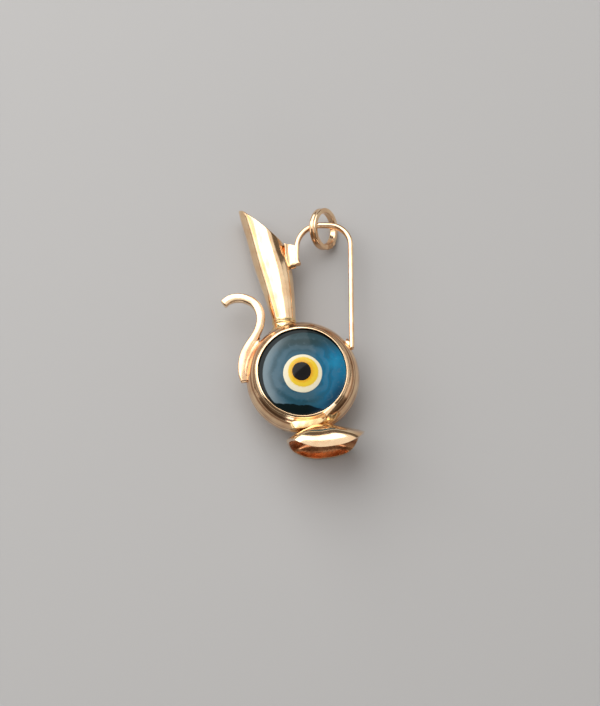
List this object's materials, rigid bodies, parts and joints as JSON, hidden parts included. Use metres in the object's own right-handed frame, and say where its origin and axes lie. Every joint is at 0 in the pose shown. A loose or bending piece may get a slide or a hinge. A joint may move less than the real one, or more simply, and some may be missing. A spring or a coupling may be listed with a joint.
{
  "type": "pitcher charm",
  "caption": "Gold pitcher charm with a glass evil-eye belly, a bent spout, a flared open foot and a jump ring on its wire handle.",
  "frame": {"origin": "middle of the flat on the bowl's back, which the charm rests on", "axes": "+Z out of the back toward the glass eye, up as the charm lies; +Y from the foot to the mouth and the ring; +X to the handle's side"},
  "size_m": [0.0164, 0.0296, 0.0082],
  "materials": {
    "gold": "polished, with small dents and solder marks",
    "blue_glass": "glossy, opaque blue with faint swirls",
    "white_glass": "glossy, opaque",
    "yellow_glass": "glossy, opaque",
    "black_glass": "glossy, opaque"
  },
  "bodies": {
    "root": {"pitcher": "gold", "bezel_strip": "gold", "jump_ring": "gold", "eye_glass": "blue_glass", "eye_white": "white_glass", "eye_yellow": "yellow_glass", "eye_pupil": "black_glass"}
  },
  "joints": []
}
